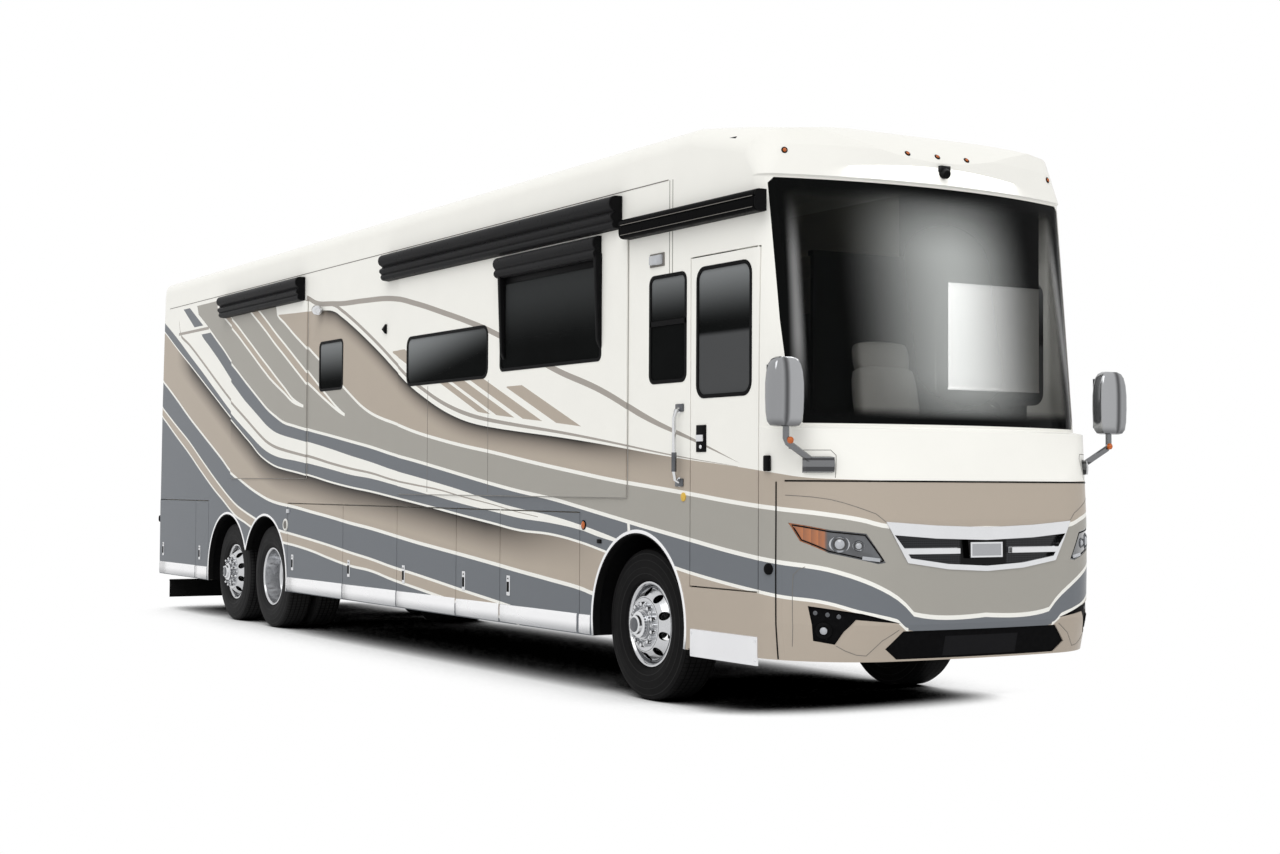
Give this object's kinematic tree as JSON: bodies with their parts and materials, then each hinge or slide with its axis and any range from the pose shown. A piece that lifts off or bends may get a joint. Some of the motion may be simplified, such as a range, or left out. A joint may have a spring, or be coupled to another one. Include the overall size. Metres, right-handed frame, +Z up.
{
  "type": "tag-axle motorhome coach",
  "caption": "Long tag-axle motorhome coach with slide-out rooms, opening entry, bay and engine doors, steered front wheels and rolling axles.",
  "frame": {"origin": "on the ground under the middle of the coach's overall box", "axes": "+Y towards the tail (the nose is at -Y), +X towards the driver's side (the entry door is at -X), +Z up"},
  "size_m": [2.964, 13.6899, 4.1],
  "materials": {
    "body_paint": "gloss",
    "frame_steel": "satin",
    "engine_iron": "matte",
    "inner_panel": "satin",
    "glass": "gloss",
    "lamp_lens": "gloss",
    "marker_lens": "gloss",
    "bright_trim": "polished",
    "black_plastic": "matte",
    "awning_case": "satin",
    "roof_plastic": "satin",
    "seat_leather": "satin",
    "wheel_alloy": "polished",
    "tyre": "matte"
  },
  "bodies": {
    "coach": {"chassis_frame": "frame_steel", "axle_beams": "frame_steel", "engine_block": "engine_iron", "floor_deck": "inner_panel", "basement": "inner_panel", "roof_shell": "body_paint", "wall_right": "body_paint", "wall_left": "body_paint", "front_cap": "body_paint", "nose": "body_paint", "rear_cap": "body_paint", "windshield": "glass", "side_glass": "glass", "headlamps": "lamp_lens", "grille": "bright_trim", "lower_inserts": "black_plastic", "mirrors": "bright_trim", "lamps": "marker_lens", "roof_units": "roof_plastic", "door_awning": "awning_case", "seats": "seat_leather", "dashboard": "black_plastic", "partition": "inner_panel"},
    "bay_door_right_1": {"bay_door_right_1": "body_paint"},
    "bay_door_right_2": {"bay_door_right_2": "body_paint"},
    "bay_door_right_3": {"bay_door_right_3": "body_paint"},
    "bay_door_right_4": {"bay_door_right_4": "body_paint"},
    "bay_door_right_5": {"bay_door_right_5": "body_paint"},
    "bay_door_left_1": {"bay_door_left_1": "body_paint"},
    "bay_door_left_2": {"bay_door_left_2": "body_paint"},
    "bay_door_left_3": {"bay_door_left_3": "body_paint"},
    "battery_door": {"battery_door": "body_paint"},
    "rear_bay_door_right": {"rear_bay_door_right": "body_paint"},
    "rear_bay_door_left": {"rear_bay_door_left": "body_paint"},
    "entry_door": {"entry_door": "body_paint", "entry_door_glass": "glass"},
    "engine_door": {"engine_door": "body_paint"},
    "front_slide": {"front_slide": "body_paint", "front_slide_glass": "glass", "front_slide_awnings": "awning_case"},
    "rear_slide": {"rear_slide": "body_paint", "rear_slide_awnings": "awning_case"},
    "left_slide": {"left_slide": "body_paint", "left_slide_glass": "glass", "left_slide_awnings": "awning_case"},
    "knuckle_right": {"knuckle_right": "frame_steel"},
    "front_wheel_right": {"front_rim_right": "wheel_alloy", "front_tyre_right": "tyre"},
    "tag_wheel_right": {"tag_rim_right": "wheel_alloy", "tag_tyre_right": "tyre"},
    "drive_wheels_right": {"drive_rims_right": "wheel_alloy", "drive_tyres_right": "tyre"},
    "knuckle_left": {"knuckle_left": "frame_steel"},
    "front_wheel_left": {"front_rim_left": "wheel_alloy", "front_tyre_left": "tyre"},
    "tag_wheel_left": {"tag_rim_left": "wheel_alloy", "tag_tyre_left": "tyre"},
    "drive_wheels_left": {"drive_rims_left": "wheel_alloy", "drive_tyres_left": "tyre"}
  },
  "joints": [
    {"name": "bay_door_right_1_hinge", "type": "hinge", "parent": "coach", "child": "bay_door_right_1", "pos_m": [-1.274, -3.8, 0.855], "axis": [0, 0, 1], "range_deg": [0, 95]},
    {"name": "bay_door_right_2_hinge", "type": "hinge", "parent": "coach", "child": "bay_door_right_2", "pos_m": [-1.274, -2.485, 0.855], "axis": [0, 0, 1], "range_deg": [0, 95]},
    {"name": "bay_door_right_3_hinge", "type": "hinge", "parent": "coach", "child": "bay_door_right_3", "pos_m": [-1.274, -1.665, 0.855], "axis": [0, 0, 1], "range_deg": [0, 95]},
    {"name": "bay_door_right_4_hinge", "type": "hinge", "parent": "coach", "child": "bay_door_right_4", "pos_m": [-1.274, -0.43, 0.855], "axis": [0, 0, 1], "range_deg": [0, 95]},
    {"name": "bay_door_right_5_hinge", "type": "hinge", "parent": "coach", "child": "bay_door_right_5", "pos_m": [-1.274, 0.85, 0.855], "axis": [0, 0, 1], "range_deg": [0, 95]},
    {"name": "bay_door_left_1_hinge", "type": "hinge", "parent": "coach", "child": "bay_door_left_1", "pos_m": [1.274, -3.8, 0.855], "axis": [0, 0, -1], "range_deg": [0, 95]},
    {"name": "bay_door_left_2_hinge", "type": "hinge", "parent": "coach", "child": "bay_door_left_2", "pos_m": [1.274, -1.665, 0.855], "axis": [0, 0, -1], "range_deg": [0, 95]},
    {"name": "bay_door_left_3_hinge", "type": "hinge", "parent": "coach", "child": "bay_door_left_3", "pos_m": [1.274, 0.85, 0.855], "axis": [0, 0, -1], "range_deg": [0, 95]},
    {"name": "battery_door_hinge", "type": "hinge", "parent": "coach", "child": "battery_door", "pos_m": [-1.274, 4.904, 0.855], "axis": [0, 0, 1], "range_deg": [0, 95]},
    {"name": "rear_bay_door_right_hinge", "type": "hinge", "parent": "coach", "child": "rear_bay_door_right", "pos_m": [-1.274, 5.365, 0.855], "axis": [0, 0, 1], "range_deg": [0, 95]},
    {"name": "rear_bay_door_left_hinge", "type": "hinge", "parent": "coach", "child": "rear_bay_door_left", "pos_m": [1.274, 4.904, 0.855], "axis": [0, 0, -1], "range_deg": [0, 95]},
    {"name": "entry_door_hinge", "type": "hinge", "parent": "coach", "child": "entry_door", "pos_m": [-1.27, -6.125, 1.935], "axis": [0, 0, 1], "range_deg": [0, 95]},
    {"name": "engine_door_hinge", "type": "hinge", "parent": "coach", "child": "engine_door", "pos_m": [0, 6.821, 1.49], "axis": [1, 0, 0], "range_deg": [0, 80]},
    {"name": "front_slide_travel", "type": "slide", "parent": "coach", "child": "front_slide", "axis": [-1, 0, 0], "range_m": [0, 0.86]},
    {"name": "rear_slide_travel", "type": "slide", "parent": "coach", "child": "rear_slide", "axis": [-1, 0, 0], "range_m": [0, 0.61]},
    {"name": "left_slide_travel", "type": "slide", "parent": "coach", "child": "left_slide", "axis": [1, 0, 0], "range_m": [0, 0.86]},
    {"name": "steer_right", "type": "hinge", "parent": "coach", "child": "knuckle_right", "pos_m": [-0.93, -4.651, 0.533], "axis": [0, 0, 1], "range_deg": [-45, 45]},
    {"name": "front_spin_right", "type": "hinge", "parent": "knuckle_right", "child": "front_wheel_right", "pos_m": [-1.06, -4.651, 0.533], "axis": [1, 0, 0], "continuous": true},
    {"name": "tag_spin_right", "type": "hinge", "parent": "coach", "child": "tag_wheel_right", "pos_m": [-1.06, 4.214, 0.533], "axis": [1, 0, 0], "continuous": true},
    {"name": "drive_spin_right", "type": "hinge", "parent": "coach", "child": "drive_wheels_right", "pos_m": [-0.905, 3.01, 0.533], "axis": [1, 0, 0], "continuous": true},
    {"name": "steer_left", "type": "hinge", "parent": "coach", "child": "knuckle_left", "pos_m": [0.93, -4.651, 0.533], "axis": [0, 0, 1], "range_deg": [-45, 45]},
    {"name": "front_spin_left", "type": "hinge", "parent": "knuckle_left", "child": "front_wheel_left", "pos_m": [1.06, -4.651, 0.533], "axis": [1, 0, 0], "continuous": true},
    {"name": "tag_spin_left", "type": "hinge", "parent": "coach", "child": "tag_wheel_left", "pos_m": [1.06, 4.214, 0.533], "axis": [1, 0, 0], "continuous": true},
    {"name": "drive_spin_left", "type": "hinge", "parent": "coach", "child": "drive_wheels_left", "pos_m": [0.905, 3.01, 0.533], "axis": [1, 0, 0], "continuous": true}
  ],
  "couplings": [
    {"joint": "steer_left", "follows": "steer_right", "ratio": 1}
  ]
}
